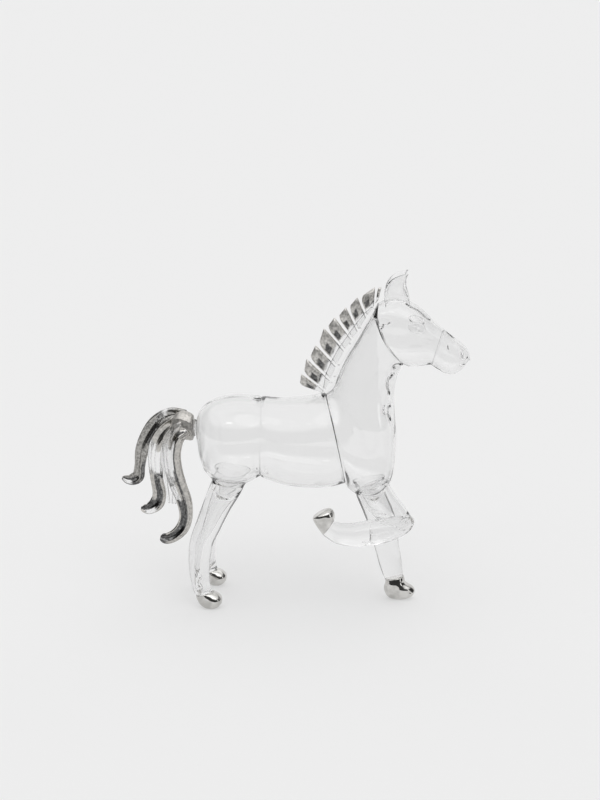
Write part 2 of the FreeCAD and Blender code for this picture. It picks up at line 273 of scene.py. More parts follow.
def marked(piece, rings):
    """Keeps where each point is on a piece: way runs from 0 at its first ring to 1 at its last, and lane is 1
    along its upper edge and -1 along its lower one."""
    count = len(rings[0])
    last = len(rings) - 1
    ways = [i / last for i in range(len(rings)) for _ in range(count)] + [0.0, 1.0]
    lanes = [math.cos(2 * math.pi * k / count) for _ in rings for k in range(count)] + [0.0, 0.0]
    for name, values in (("way", ways), ("lane", lanes)):
        piece.data.attributes.new(name, "FLOAT", "POINT").data.foreach_set("value", values)
    return piece


def tube_wall(name, outer, inner):
    """A wall open at both ends: its outer rings, then its inner ones back to the first."""
    return outward(add_mesh(name, *skin(outer + inner[::-1], looped=True)))


def bottle(name, outer, inner, outer_end, inner_end):
    """A wall open at its first ring and closed at its last, where its outside and inside come to points."""
    rings = outer[::-1] + inner
    return outward(add_mesh(name, *skin(rings, outer_end, inner_end)))


def tree(piece):
    """A search tree of the piece, in millimetres."""
    mesh = piece.data
    points = [v.co / MM for v in mesh.vertices]
    return BVHTree.FromPolygons(points, [tuple(f.vertices) for f in mesh.polygons])


# ---- blown body --------------------------------------------------------------

RUMP_SEAM = (-13.8, 86.5, -14.2, 55.0, 15.3)
SHOULDER_SEAM = (12.4, 88.8, 20.4, 52.6, 16.0)
POLL_SEAM = (33.9, 127.0, 44.4, 102.0, 7.2)
NOSE_SEAM = (60.6, 116.4, 55.6, 102.0, 6.2)

BULB_STEPS = 12       # rings to each span of a bulb
POLL_BOW = -4.0       # the head's round back bulges into the neck at its sides
POLL_REACH = 12.0     # how far from the seam that bulge reaches
RUMP_TURN, SHOULDER_TURN, POLL_TURN = -0.07, -0.127, -0.10   # how far each seam's left side lies to the rear
RUMP_WELD, SHOULDER_WELD = (0.12, 1.0, 1.0), (0.09, 0.1, 2.0)   # depth of a crease, its share on top, seed
POLL_WELD, NOSE_WELD = (0.4, 0.06, 3.0), (0.06, 1.0, 4.0)

HINDQUARTERS = [
    (-40.9, 75.0, -40.9, 72.2, 1.4), (-40.5, 77.6, -40.5, 69.6, 4.0), (-39.3, 80.8, -39.7, 65.7, 7.4),
    (-36.4, 83.9, -38.2, 59.6, 11.6), (-32.2, 86.0, -34.8, 54.3, 15.0), (-25.7, 87.4, -27.4, 51.0, 17.0),
    (-19.5, 87.4, -19.5, 51.9, 17.0), (-15.2, 87.0, -15.4, 54.2, 15.9), RUMP_SEAM,
]
BARREL = [
    RUMP_SEAM, (-12.4, 86.9, -12.6, 54.1, 15.9), (-9.0, 86.5, -9.0, 53.0, 16.5),
    (-4.6, 86.4, -4.0, 51.6, 16.9), (3.6, 87.2, 6.0, 50.5, 17.3), (9.0, 88.3, 14.5, 50.9, 17.0),
    SHOULDER_SEAM,
]
FOREQUARTERS = [
    SHOULDER_SEAM, (13.2, 89.4, 22.6, 50.0, 16.3), (14.0, 89.9, 27.0, 47.6, 16.0),
    (14.8, 90.4, 34.0, 47.5, 15.4), (15.6, 91.2, 39.4, 52.4, 15.0), (16.2, 92.2, 41.3, 60.0, 14.6),
    (17.0, 93.6, 41.8, 71.0, 13.6), (17.7, 95.8, 41.0, 82.0, 12.2), (18.8, 99.2, 40.8, 90.5, 10.6),
    (21.3, 104.6, 41.8, 96.5, 9.2), (25.4, 111.6, 43.2, 100.0, 8.2), (29.8, 119.5, 43.9, 101.4, 7.6),
    POLL_SEAM,
]
HEAD = [
    POLL_SEAM, (38.5, 128.8, 46.5, 101.2, 8.2), (44.0, 128.6, 48.6, 101.2, 8.8),
    (49.0, 126.6, 51.0, 101.5, 8.6), (53.5, 122.9, 53.2, 101.8, 7.9), (57.4, 119.0, 54.8, 102.0, 7.0),
    NOSE_SEAM,
]
MUZZLE = [
    NOSE_SEAM, (63.6, 114.1, 58.0, 100.3, 5.8), (66.9, 111.6, 61.5, 98.6, 5.5),
    (69.4, 109.3, 65.0, 98.4, 5.1), (70.8, 107.2, 68.0, 100.3, 3.6), (71.1, 105.4, 70.0, 102.8, 1.4),
]

HEAD_REACH = 6.0      # how far from its seams the wall of the head and muzzle gets its full depth
RUMP_END, RUMP_SOLID = Vector((-41.05, 0, 73.6)), 6       # the rump's rear point, and its solid rings
MUZZLE_END, MUZZLE_SOLID = Vector((71.3, 0, 104.2)), 10   # the same at the lips
MUZZLE_LUMPS = [
    (69.0, -2.6, 107.2, 1.2, 1.6, 3.0), (67.4, -2.6, 102.8, 1.1, 0.9, 2.4),
    (62.8, -4.6, 111.2, 0.6, 2.0, 1.2),
]
FOREHEAD_LUMPS = [(46.0 + 1.33 * i, -1.7, 127.4 - 0.95 * i, 1.1, 0.9, 0.9) for i in range(7)]
HEAD_LUMPS = [
    (36.8, -7.0, 121.2, 2.0, 0.8, 2.4), (34.8, -6.4, 119.6, 1.0, 1.5, 2.4),
    (48.4, -8.4, 112.2, 4.5, 1.6, 0.5), (54.5, -7.2, 113.6, 2.5, 1.0, 0.4), *FOREHEAD_LUMPS,
]
RUMP_LUMPS = [(-15.5, 0.0, 86.0, 1.6, 1.0, 0.9), (-36.0, -9.5, 57.5, 1.6, 0.7, 0.6)]
BARREL_LUMPS = [(-12.4, 0.0, 55.0, 1.6, 1.2, 0.9)]
NECK_LUMPS = [
    (41.0, -3.0, 101.6, 1.8, 0.9, 1.8), (40.6, -4.4, 93.8, 1.8, 3.4, 4.4), (39.8, -5.4, 82.4, 1.5, 2.4, 3.8),
    (37.6, -8.6, 84.8, 1.0, 1.4, 2.2), (11.6, -6.0, 91.0, 1.6, 1.0, 0.9), (16.5, -5.0, 95.5, 1.0, 1.6, 0.9),
    (24.0, -5.0, 108.0, 0.8, 0.8, 0.8), (27.5, -4.6, 116.0, 0.8, 0.6, 0.9),
]


def welded(rings, first=None, last=None):
    """The rings with fine creases at the ends that are melted to a neighbour, and a hairline left between."""
    out = list(rings)
    for end, beside, weld in ((0, 1, first), (-1, -2, last)):
        if weld:
            shift = (middle(out[beside]) - middle(out[end])).normalized() * GAP / 2
            out[end] = [p + shift for p in creased(out[end], *weld)]
    return out


def make_trunk(pieces):
    rings = welded(bowed(across(HINDQUARTERS, BULB_STEPS), 0.0, RUMP_TURN, last=True), last=RUMP_WELD)
    inner = lumped(drawn_in(rings, WALL, 1.0, thin_first=False), RUMP_LUMPS)[RUMP_SOLID:]
    rear = middle(inner[0])
    pieces["hindquarters"] = bottle("hindquarters_glass", rings[::-1], inner[::-1], RUMP_END, rear)

    rings = bowed(across(BARREL, BULB_STEPS), 0.0, RUMP_TURN)
    rings = welded(bowed(rings, 0.0, SHOULDER_TURN, last=True), RUMP_WELD, SHOULDER_WELD)
    inner = lumped(drawn_in(rings, WALL, 2.0), BARREL_LUMPS)
    pieces["barrel"] = tube_wall("barrel_glass", rings, inner)

    rings = bowed(across(FOREQUARTERS, BULB_STEPS), 0.0, SHOULDER_TURN)
    rings = welded(bowed(rings, POLL_BOW, POLL_TURN, POLL_REACH, last=True), SHOULDER_WELD, POLL_WELD)
    inner = lumped(drawn_in(rings, NECK_WALL, 3.0), NECK_LUMPS)
    pieces["forequarters"] = tube_wall("forequarters_glass", rings, inner)


def make_head(pieces):
    rings = bowed(across(HEAD, BULB_STEPS), POLL_BOW, POLL_TURN, POLL_REACH)
    rings = welded(rings, POLL_WELD, NOSE_WELD)
    inner = lumped(drawn_in(rings, HEAD_WALL, 4.0, reach=HEAD_REACH), HEAD_LUMPS)
    pieces["head"] = tube_wall("head_glass", rings, inner)

    rings = welded(across(MUZZLE, BULB_STEPS), NOSE_WELD)
    inner = drawn_in(rings, WALL, 5.0, thin_last=False, reach=HEAD_REACH)
    inner = lumped(inner, MUZZLE_LUMPS)[:-MUZZLE_SOLID]
    pieces["muzzle"] = bottle("muzzle_glass", rings, inner, MUZZLE_END, middle(inner[-1]))


# ---- legs and hooves ---------------------------------------------------------

LEG_STEPS = 10        # rings to each span of a leg
LEG_FILLET = 1.4      # how far a leg's skin spreads over the body
KNEE_FILLET = 1.2     # the same where the forearm meets the cannon
FILLET_RINGS = 8      # rings in the curve where a leg's skin turns to lie along the body
FILLET_STEP = 0.1     # how finely the end of that curve is looked for, in rings
MIDDLE_GAP = 0.2      # how near to the middle plane that skin comes
LEG_FLARE = 9         # rings over which a leg's wall thins to a lip at the body
LIP = 0.99            # how much of the wall is gone at the lip

FAR_HIND_BACK = 1.1   # the far hind hoof is set this much further back than the near one
FAR_BEND = 45.0       # the height below which the far hind leg is drawn back
FAR_WALL = 0.5        # the far hind leg is a thin tube, where the near one is a rod that is hollow at its top
FAR_TOP, FAR_FULL = 56.0, 24.0   # the height where its wall is thinnest, and the height it thins over
FAR_LEAST = 0.12      # the share of its wall that is left there


def run_into(line, body):
    """The place along a line of points where, walked from its end to its start, it first meets the body."""
    for i in range(len(line) - 1, 0, -1):
        step = line[i - 1] - line[i]
        hit, _, _, distance = body.ray_cast(line[i], step.normalized(), step.length)
        if hit is not None:
            return i - distance / step.length
    return 0.0


def place_on(line, at):
    """A place between the points of a line, on the smooth curve through them."""
    last = len(line) - 1
    i = min(int(at), last - 1)
    return between(line[max(i - 1, 0)], line[i], line[i + 1], line[min(i + 2, last)], at - i)


def spread(line, middles, start, body, reach, side):
    """The curve where one line of a leg's skin turns to lie along the body, and where on the line it ends."""
    corner = place_on(line, start)
    away = (corner - place_on(middles, start)).normalized()
    end = start
    while end < len(line) - 2 and (place_on(line, end) - corner).length < reach:
        end += FILLET_STEP
    over = corner + away * reach
    if over.y * side < MIDDLE_GAP:
        over.y = MIDDLE_GAP * side
    rise = body.find_nearest(corner)[1]
    foot, normal = body.find_nearest(over + rise)[:2]
    foot += normal * GAP
    turn = corner + rise * 3 * GAP
    rejoin = place_on(line, end)
    curve = []
    for i in range(FILLET_RINGS):
        t = i / FILLET_RINGS
        curve.append(foot.lerp(turn, t).lerp(turn.lerp(rejoin, t), t))
    return curve, end


def trimmed(rings, body, fillet=0.0, side=0):
    """The rings with their first one laid on the body that they run into, and the rest spread evenly after.
    With a fillet they turn outwards first, and stay on their own side of the middle plane."""
    last = len(rings) - 1
    middles = [middle(ring) for ring in rings]
    lines = []
    for line in zip(*rings):
        start = min(run_into(line, body) + GAP, last - 1)
        curve = []
        if fillet:
            curve, start = spread(line, middles, start, body, fillet, side)
        step = (last - start) / last
        lines.append(curve + [place_on(line, start + step * i) for i in range(last + 1)])
    return [list(ring) for ring in zip(*lines)]


def lipped(inner, outer):
    """The inner rings with the wall between them and the outer ones thinned at its start."""
    out = list(inner)
    for i in range(LEG_FLARE):
        share = (1 - (i / LEG_FLARE) ** 2) * LIP
        out[i] = [wall.lerp(lip, share) for wall, lip in zip(inner[i], outer[i])]
    return out


def drawn_leg(name, stations, bore, body, side):
    """A drawn rod, blown hollow at its top, where it opens on the body."""
    outer = trimmed(along(stations, LEG_STEPS), body, LEG_FILLET, side)
    inner = lipped(trimmed(along(bore, LEG_STEPS), body, LEG_FILLET, side), outer)
    tip = middle(inner[-1]) + (middle(inner[-1]) - middle(inner[-2])).normalized() * bore[-1][3]
    return bottle(name, outer, inner, middle(outer[-1]), tip)


def set_back(stations):
    """The stations of the far hind leg, with its lower half drawn back."""
    out = []
    for x, y, z, *reaches in stations:
        out.append((x - FAR_HIND_BACK * max(1 - z / FAR_BEND, 0.0), y, z, *reaches))
    return out


def far_bore(x, y, z, long, wide):
    """The bore of the far hind leg at a station: its wall thins towards the top."""
    wall = FAR_WALL * min(max((FAR_TOP - z) / FAR_FULL, FAR_LEAST), 1.0)
    return (x, y, z, long - wall, wide - wall)


def hind_leg(side):
    """The stations of a hind leg's outside and of its bore."""
    outer = [
        (-25.6, side * 5.6, 60.0, 7.0, 4.8), (-26.2, side * 6.2, 56.4, 7.2, 5.2),
        (-27.2, side * 7.4, 51.6, 6.5, 5.5), (-31.2, side * 9.0, 43.6, 5.8, 5.4),
        (-34.8, side * 10.7, 35.2, 5.2, 5.0), (-37.6, side * 12.0, 28.4, 4.8, 4.7),
        (-38.5, side * 12.9, 22.0, 4.55, 4.4), (-38.6, side * 13.5, 16.0, 4.2, 4.1),
        (-37.9, side * 13.9, 9.9, 3.8, 3.7), (-36.8, side * 14.0, 6.4, 3.5, 3.5),
    ]
    if side > 0:
        outer = set_back(outer)
        return outer, [far_bore(*station) for station in outer[:-1]]
    return outer, [
        (-25.5, side * 5.6, 60.0, 6.6, 4.3), (-26.0, side * 6.2, 56.4, 6.85, 4.75),
        (-26.9, side * 7.4, 51.8, 5.8, 4.7), (-29.4, side * 8.2, 47.4, 3.8, 3.2),
    ]


FORELEG = [
    (29.6, 5.8, 60.0, 5.6, 4.8), (30.2, 5.8, 54.0, 6.4, 5.2), (31.4, 5.8, 47.4, 6.8, 5.4),
    (34.3, 5.5, 38.8, 6.3, 5.3), (36.6, 4.8, 30.6, 5.6, 5.2), (38.2, 4.0, 23.4, 5.1, 5.0),
    (40.0, 3.3, 15.6, 4.75, 4.6), (41.2, 2.8, 10.8, 4.2, 4.1), (41.8, 2.6, 8.9, 3.8, 3.8),
]
FORELEG_BORE = [
    (29.6, 5.8, 60.0, 4.4, 3.6), (30.2, 5.8, 54.0, 5.0, 3.9), (31.2, 5.8, 48.4, 4.6, 3.8),
    (32.4, 5.7, 43.4, 3.2, 2.9),
]
FOREARM = [
    (29.8, -6.8, 60.0, 6.6, 5.0), (30.8, -7.6, 56.5, 6.9, 5.3), (32.4, -8.8, 52.0, 6.9, 5.6),
    (35.0, -10.2, 48.0, 6.6, 5.6), (38.0, -11.2, 44.6, 6.2, 5.2), (41.4, -11.8, 41.4, 5.6, 4.9),
    (44.6, -12.0, 38.2, 4.8, 4.5),
]
FOREARM_WALL = 1.0
FOREARM_LUMPS = [(32.0, -15.8, 43.6, 2.6, 0.8, 0.8), (36.0, -16.4, 42.2, 2.6, 0.6, 0.7)]
CANNON = [
    (48.7, -12.0, 40.2, 1.2, 1.6), (47.6, -12.0, 38.9, 2.7, 2.9), (45.6, -12.0, 37.5, 3.8, 3.8),
    (42.0, -12.0, 36.0, 4.7, 4.5), (37.4, -12.0, 34.6, 5.2, 4.8), (31.4, -12.0, 33.3, 5.3, 4.8),
    (25.2, -12.0, 32.4, 4.9, 4.6), (19.6, -12.0, 32.8, 4.4, 4.3), (16.2, -12.0, 34.2, 3.9, 3.9),
    (14.5, -12.0, 35.5, 3.75, 3.75),
]
CANNON_STEPS = 6      # rings to each span of the raised cannon
CANNON_BUBBLES = [
    (46.4, -14.0, 38.9, 0.6, 0.5), (44.9, -14.2, 36.2, 1.5, 0.5), (32.4, -14.4, 34.0, 0.5, 0.5),
    (30.8, -13.6, 30.6, 2.3, 0.45),
]
HIND_BUBBLES = [
    [(-32.4, -9.6, 45.6, 0.05, 0.05), (-34.6, -10.8, 39.6, 0.45, 0.45), (-36.8, -12.0, 32.6, 0.45, 0.45),
     (-38.2, -12.8, 27.4, 0.05, 0.05)],
    [(-38.7, -14.0, 15.4, 0.3, 0.3), (-38.6, -14.1, 13.6, 1.0, 0.9), (-38.9, -14.1, 11.4, 0.7, 0.7),
     (-38.4, -14.1, 9.0, 1.1, 0.9), (-38.1, -14.0, 7.4, 0.3, 0.3)],
]

HIND_HOOF_Y, FORE_HOOF_Y, RAISED_HOOF_Y = 14.0, 2.6, -12.0
HOOF_SQUARE = 2.2     # fullness of a hoof's corners
HIND_HOOF = [
    (-33.3, 6.9, -40.2, 5.6, 3.6), (-32.4, 6.9, -39.7, 3.6, 3.8), (-31.7, 6.7, -38.2, 1.2, 4.0),
    (-30.9, 6.3, -35.8, -0.2, 4.1), (-30.2, 5.7, -33.0, -0.4, 3.9), (-29.5, 4.9, -30.8, 0.5, 3.0),
    (-29.2, 3.9, -29.5, 1.9, 1.4),
]
FORE_HOOF = [
    (45.7, 9.9, 38.2, 8.8, 3.7), (46.0, 8.7, 38.0, 7.6, 4.0), (46.4, 7.3, 37.8, 6.3, 4.3),
    (47.9, 6.2, 37.4, 4.9, 4.4), (49.4, 5.3, 37.8, 2.6, 4.5), (50.1, 4.5, 39.8, 0.3, 4.1),
    (50.4, 3.8, 44.0, -0.3, 3.6), (50.4, 3.2, 48.0, 0.5, 2.5), (50.2, 2.7, 49.7, 1.6, 1.1),
]
RAISED_HOOF = [
    (12.3, 32.4, 16.9, 38.4, 3.7), (11.2, 34.0, 17.3, 40.0, 4.0), (9.8, 36.0, 17.0, 42.0, 4.2),
    (8.5, 38.2, 15.8, 43.3, 4.1), (8.3, 39.6, 13.8, 43.2, 3.2), (9.4, 40.7, 11.8, 42.3, 1.5),
]


def hoof_rings(stations, y, steps=5):
    """Rings down a hoof: (front x, z, rear x, z, half-width)."""
    rings = []
    for front_x, front_z, rear_x, rear_z, width in glide(stations, steps):
        front, rear = Vector((front_x, y, front_z)), Vector((rear_x, y, rear_z))
        rings.append(oval((front + rear) / 2, (front - rear) / 2, Vector((0, width, 0)), HOOF_SQUARE))
    return rings


def flat_sole(rings):
    """The rings of a hoof that is ground flat where it stands."""
    return [[Vector((p.x, p.y, max(p.z, 0.0))) for p in ring] for ring in rings]


def forearm(name, chest, cannon):
    """A short blown tube that opens on the chest at its top and on the folded cannon at the knee."""
    outer = trimmed(along(FOREARM, LEG_STEPS), chest, LEG_FILLET, -1)
    outer = trimmed(outer[::-1], cannon, KNEE_FILLET, -1)
    inner = lumped([toward_middle(ring, FOREARM_WALL) for ring in outer[::-1]], FOREARM_LUMPS)
    inner = lipped(lipped(inner, outer[::-1])[::-1], outer)
    return tube_wall(name, outer, inner)


def join_meshes(piece, other):
    """Adds the other's faces to the piece, such as the closed surface of a bubble inside it."""
    mesh, extra = piece.data, other.data
    points = [v.co.copy() for v in mesh.vertices] + [v.co.copy() for v in extra.vertices]
    base = len(mesh.vertices)
    faces = [tuple(f.vertices) for f in mesh.polygons]
    faces += [tuple(v + base for v in f.vertices) for f in extra.polygons]
    joined = bpy.data.meshes.new(piece.name)
    joined.from_pydata(points, [], faces)
    joined.polygons.foreach_set("use_smooth", [True] * len(faces))
    piece.data = joined
    bpy.data.objects.remove(other)


def add_bubble(piece, bubble):
    """Makes a hollow in the piece out of a solid inside it."""
    bubble.data.flip_normals()
    join_meshes(piece, bubble)


def long_bubble(piece, stations, steps=8, count=24):
    """A drawn-out bubble of air in the solid glass of a piece, along a line of stations."""
    add_bubble(piece, solid("bubble", along(stations, steps, count=count)))


def bubbles(piece, places, count=16):
    """Small bubbles of air in the solid glass of a piece: (x, y, z, half-length, half-height)."""
    for x, y, z, long, high in places:
        rings = []
        for i in range(1, count // 2):
            a = 2 * math.pi * i / count
            centre = Vector((x - long * math.cos(a), y, z))
            reach = high * math.sin(a)
            rings.append(oval(centre, Vector((0, 0, reach)), Vector((0, reach, 0)), count=count))
        add_bubble(piece, solid("bubble", rings, Vector((x - long, y, z)), Vector((x + long, y, z))))


def make_hind_legs(pieces):
    rump = tree(pieces["hindquarters"])
    for side_name, side in SIDES:
        outer, bore = hind_leg(side)
        node = f"hind_leg_{side_name}"
        pieces[node] = drawn_leg(f"{node}_glass", outer, bore, rump, side)
        node = f"hoof_hind_{side_name}"
        back = FAR_HIND_BACK if side > 0 else 0.0
        shape = [(front - back, front_z, rear - back, *rest) for front, front_z, rear, *rest in HIND_HOOF]
        pieces[node] = solid(f"{node}_silver", flat_sole(hoof_rings(shape, side * HIND_HOOF_Y)))
    for places in HIND_BUBBLES:
        long_bubble(pieces["hind_leg_right"], places)


def make_forelegs(pieces):
    chest = tree(pieces["forequarters"])
    pieces["foreleg_standing"] = drawn_leg("foreleg_standing_glass", FORELEG, FORELEG_BORE, chest, 1)
    sole = flat_sole(hoof_rings(FORE_HOOF, FORE_HOOF_Y))
    pieces["hoof_fore_standing"] = solid("hoof_fore_standing_silver", sole)
    cannon = solid("raised_cannon_glass", along(CANNON, CANNON_STEPS))
    pieces["raised_cannon"] = cannon
    pieces["hoof_fore_raised"] = solid("hoof_fore_raised_silver", hoof_rings(RAISED_HOOF, RAISED_HOOF_Y))
    pieces["raised_forearm"] = forearm("raised_forearm_glass", chest, tree(cannon))
    bubbles(cannon, CANNON_BUBBLES)


# ---- ears and eyes -----------------------------------------------------------

EAR = [
    (42.0, 4.4, 126.0, 5.0, 2.2, 0.12), (41.2, 4.6, 130.0, 4.9, 3.2, 0.3), (40.9, 4.8, 134.0, 4.2, 2.8, 0.7),
    (42.0, 5.0, 137.4, 3.1, 1.8, 0.7), (43.9, 5.1, 139.3, 1.6, 0.9, 0.5), (45.6, 5.1, 139.9, 0.4, 0.3, 0.15),
]
EAR_LEAST = (0.05, 0.03)   # the least that the ear's front reaches along and across at its tip
EAR_OPEN = 0.3        # how much of its thickness the front is set in from the rims

EYE_X, EYE_Z = 49.6, 118.7
EYE_LONG, EYE_HIGH, EYE_LEAN = 3.6, 2.3, math.radians(-14.0)
EYE_RINGS, EYE_POINTS = 10, 40
DOME = 1.2            # how far the bead stands out from the head
LID, LID_PLACE, LID_SPAN = 0.7, 0.76, 0.11    # the raised lid: its height, and its place and width outwards
SWIRL, SWIRL_SPAN = 0.8, 0.5                  # the swirl of glass in front of the middle
SWIRL_AHEAD, SWIRL_UP = 1.5, -0.2
BEAD_LEAST = 0.02     # how thick the bead is at its edge


def ear_rings(side, steps=6, count=20):
    """A leaf of glass rolled into a scoop that opens outwards: each ring goes round its back, then front."""
    angles = [math.pi * k / (count - 1) for k in range(count)]
    rings = []
    for x, y, z, long, deep, thick in glide(EAR, steps):
        ring = [Vector((x - long * math.cos(a), side * (y - deep * math.sin(a)), z)) for a in angles]
        inner_long, inner_deep = max(long - thick, EAR_LEAST[0]), max(deep - thick, EAR_LEAST[1])
        for a in reversed(angles):
            across_at = side * (y + EAR_OPEN * thick - inner_deep * math.sin(a))
            ring.append(Vector((x - inner_long * math.cos(a), across_at, z)))
        rings.append(ring)
    return rings


def bead_height(out, ahead, up):
    """How far the eye bead stands out: at a share of the way out to its edge, this far ahead and up in it."""
    dome = DOME * math.sqrt(max(1 - out * out, 0.0))
    lid = LID * math.exp(-((out - LID_PLACE) / LID_SPAN) ** 2)
    swirl = SWIRL * math.exp(-((ahead - SWIRL_AHEAD) ** 2 + (up - SWIRL_UP) ** 2) / SWIRL_SPAN) * (1 - out)
    return max(dome + lid + swirl, BEAD_LEAST)


def eye_bead(name, side, head):
    """A bead set on the side of the head: its back lies on the head and its front is a dome inside a lid."""
    front, back = [], []
    for i in range(1, EYE_RINGS + 1):
        out = i / EYE_RINGS
        front_ring, back_ring = [], []
        for k in range(EYE_POINTS):
            a = 2 * math.pi * k / EYE_POINTS
            ahead, up = out * EYE_LONG * math.cos(a), out * EYE_HIGH * math.sin(a)
            x = EYE_X + ahead * math.cos(EYE_LEAN) - up * math.sin(EYE_LEAN)
            z = EYE_Z + ahead * math.sin(EYE_LEAN) + up * math.cos(EYE_LEAN)
            hit = head.ray_cast(Vector((x, side * 30, z)), Vector((0, -side, 0)))[0]
            back_ring.append(hit + Vector((0, side * GAP, 0)))
            front_ring.append(hit + Vector((0, side * (GAP + bead_height(out, ahead, up)), 0)))
        front.append(front_ring)
        back.append(back_ring)
    top = middle(front[0]) + Vector((0, side * BEAD_LEAST, 0))
    return outward(add_mesh(name, *skin(front + back[::-1], top, middle(back[0]))))


def leaf(name, rings):
    """A solid between two sheets: each ring runs along one and back along the other, with its ends closed."""
    points, faces = skin(rings)
    count = len(rings[0])
    top = (len(rings) - 1) * count
    for k in range(count // 2 - 1):
        back = count - 1 - k
        faces.append((k + 1, k, back, back - 1))
        faces.append((top + k, top + k + 1, top + back - 1, top + back))
    return outward(add_mesh(name, points, faces))


def make_face(pieces):
    head = tree(pieces["head"])
    for side_name, side in SIDES:
        node = f"ear_{side_name}"
        pieces[node] = leaf(f"{node}_glass", held(trimmed(ear_rings(side), head)))
        node = f"eye_{side_name}"
        pieces[node] = eye_bead(f"{node}_glass", side, head)


# ---- mane --------------------------------------------------------------------

MANE_ROOT = [(10.6, 88.9), (12.4, 90.4), (14.6, 95.0), (16.9, 101.0), (20.2, 107.6),
             (23.4, 112.2), (25.8, 115.8), (29.2, 121.5), (32.4, 126.4), (34.3, 128.9)]
MANE_EDGE = [(1.6, 92.0), (3.2, 97.3), (5.4, 103.7), (9.2, 109.4), (12.5, 116.6),
             (16.9, 121.0), (21.4, 125.2), (26.0, 129.4), (33.0, 133.6), (35.6, 133.2)]
LOBE_PROFILE = ((0.0, 0.4), (0.06, 0.6), (0.2, 0.9), (0.5, 1.5), (0.8, 1.4), (0.94, 1.05), (1.0, 0.5))
LOBE_GAP = 0.55       # half the clear gap between two lobes
LOBE_LEAST = 0.3      # the least half-height of a lobe
LOBE_SQUARE, LOBE_POINTS = 2.6, 48
OUTER_POINT = 0.05    # how far a lobe's upper outer corner stands out, and its lower one in, as a share
ROUND_FROM, ROUND_TO = 0.68, 1.06       # where along a lobe its outer corners start and stop rounding off
LOWER_ROUND, UPPER_ROUND = 0.34, 0.06   # how much of them is rounded off
CURL, CURL_TURN = 0.5, 2.3              # how far a lobe bends sideways, and how that varies from lobe to lobe
CREST = [
    (12.6, 0, 89.4, 1.4, 0.9), (14.2, 0, 92.6, 2.4, 1.0), (15.4, 0, 97.0, 2.7, 1.1),
    (17.9, 0, 102.6, 2.7, 1.1), (20.9, 0, 108.0, 2.7, 1.1), (24.6, 0, 114.0, 2.4, 1.1),
    (28.2, 0, 119.4, 2.2, 1.0), (32.4, 0, 124.4, 2.0, 1.0),
]
CREST_SQUARE, CREST_POINTS = 2.2, 64
CREST_BUBBLES = [
    (16.4, -0.3, 96.4, 0.5, 0.3), (18.0, -0.3, 101.2, 0.4, 0.4), (26.4, -0.3, 116.8, 0.7, 0.35),
    (15.0, -0.3, 93.8, 0.8, 0.25), (22.6, -0.3, 110.2, 0.35, 0.3),
]


def make_mane(pieces):
    crest = solid("mane_crest_glass", along(CREST, 6, CREST_SQUARE, CREST_POINTS))
    pieces["mane_crest"] = crest
    bubbles(crest, CREST_BUBBLES)
    for i in range(len(MANE_ROOT) - 1):
        node = f"mane_lobe_{i + 1:02d}"
        rings = lobe_rings(i)
        pieces[node] = marked(solid(f"{node}_silver", rings), rings)


def lobe_rings(i):
    """A flat petal from the crest out to the mane's edge, with its upper outer corner drawn to a point."""
    root_low, root_high = (Vector((x, 0, z)) for x, z in MANE_ROOT[i:i + 2])
    edge_low, edge_high = (Vector((x, 0, z)) for x, z in MANE_EDGE[i:i + 2])
    rings = []
    for t, thick in glide(LOBE_PROFILE, 3):
        low = root_low.lerp(edge_low, t * (1 - OUTER_POINT))
        high = root_high.lerp(edge_high, t * (1 + OUTER_POINT))
        off = 1 - math.sqrt(1 - (max(t - ROUND_FROM, 0.0) / (ROUND_TO - ROUND_FROM)) ** 2)
        low, high = low.lerp(high, LOWER_ROUND * off), high.lerp(low, UPPER_ROUND * off)
        half = (high - low) / 2
        half *= max(half.length - LOBE_GAP, LOBE_LEAST) / half.length
        curl = CURL * math.sin(math.pi * t) * math.cos(CURL_TURN * i)
        centre = (low + high) / 2 + Vector((0, curl, 0))
        rings.append(oval(centre, half, Vector((0, thick, 0)), LOBE_SQUARE, LOBE_POINTS))
    return rings


# ---- tail --------------------------------------------------------------------

